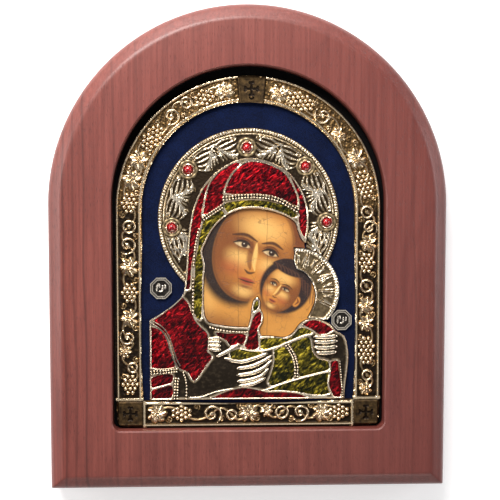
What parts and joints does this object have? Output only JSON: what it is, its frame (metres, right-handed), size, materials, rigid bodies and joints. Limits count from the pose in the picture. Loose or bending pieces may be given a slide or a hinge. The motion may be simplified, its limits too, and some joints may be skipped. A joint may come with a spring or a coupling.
{
  "type": "icon panel",
  "caption": "Arched wooden panel with a recess holding a stamped gilt vine border, velvet ground, haloed mother and child cover with red and green enamel and painted faces.",
  "frame": {"origin": "centre of the bounding box at the flat back, which lies on the floor", "axes": "+Z out of the face, +Y towards the arched top, +X to the viewer's right"},
  "size_m": [0.2, 0.243, 0.024],
  "materials": {
    "wood": "reddish brown stain under satin lacquer",
    "velvet": "dark blue flocking on card",
    "border_gilt": "stamped, polished on the high points and dark in the hollows",
    "halo_gilt": "stamped, bright",
    "cover_gilt": "stamped, polished on the high points and dark in the hollows",
    "painted_faces": "printed and varnished picture",
    "red_enamel": "translucent gloss over crinkled foil",
    "green_enamel": "translucent gloss over crinkled foil",
    "red_stone": "polished cabochon",
    "medallion_gilt": "stamped, dark hollows"
  },
  "bodies": {
    "root": {"wood_board": "wood", "velvet_ground": "velvet", "border_frame": "border_gilt", "mother_halo": "halo_gilt", "child_halo": "halo_gilt", "robe_cover": "cover_gilt", "painted_plate": "painted_faces", "veil_front": "red_enamel", "veil_side": "red_enamel", "veil_edge_left": "red_enamel", "veil_edge_right": "red_enamel", "shoulder_panel": "red_enamel", "sleeve_upper": "red_enamel", "sleeve_middle": "red_enamel", "sleeve_lower": "red_enamel", "dress_front": "red_enamel", "flap_red": "red_enamel", "child_shoulder": "red_enamel", "hem_side": "red_enamel", "hem_low": "red_enamel", "lining_top": "green_enamel", "lining_side": "green_enamel", "flap_green": "green_enamel", "robe_yoke": "green_enamel", "robe_front": "green_enamel", "robe_side": "green_enamel", "robe_low": "green_enamel", "cuff_green": "green_enamel", "stone_1": "red_stone", "stone_2": "red_stone", "stone_3": "red_stone", "stone_4": "red_stone", "stone_5": "red_stone", "medallion_left": "medallion_gilt", "medallion_right": "medallion_gilt"}
  },
  "joints": []
}
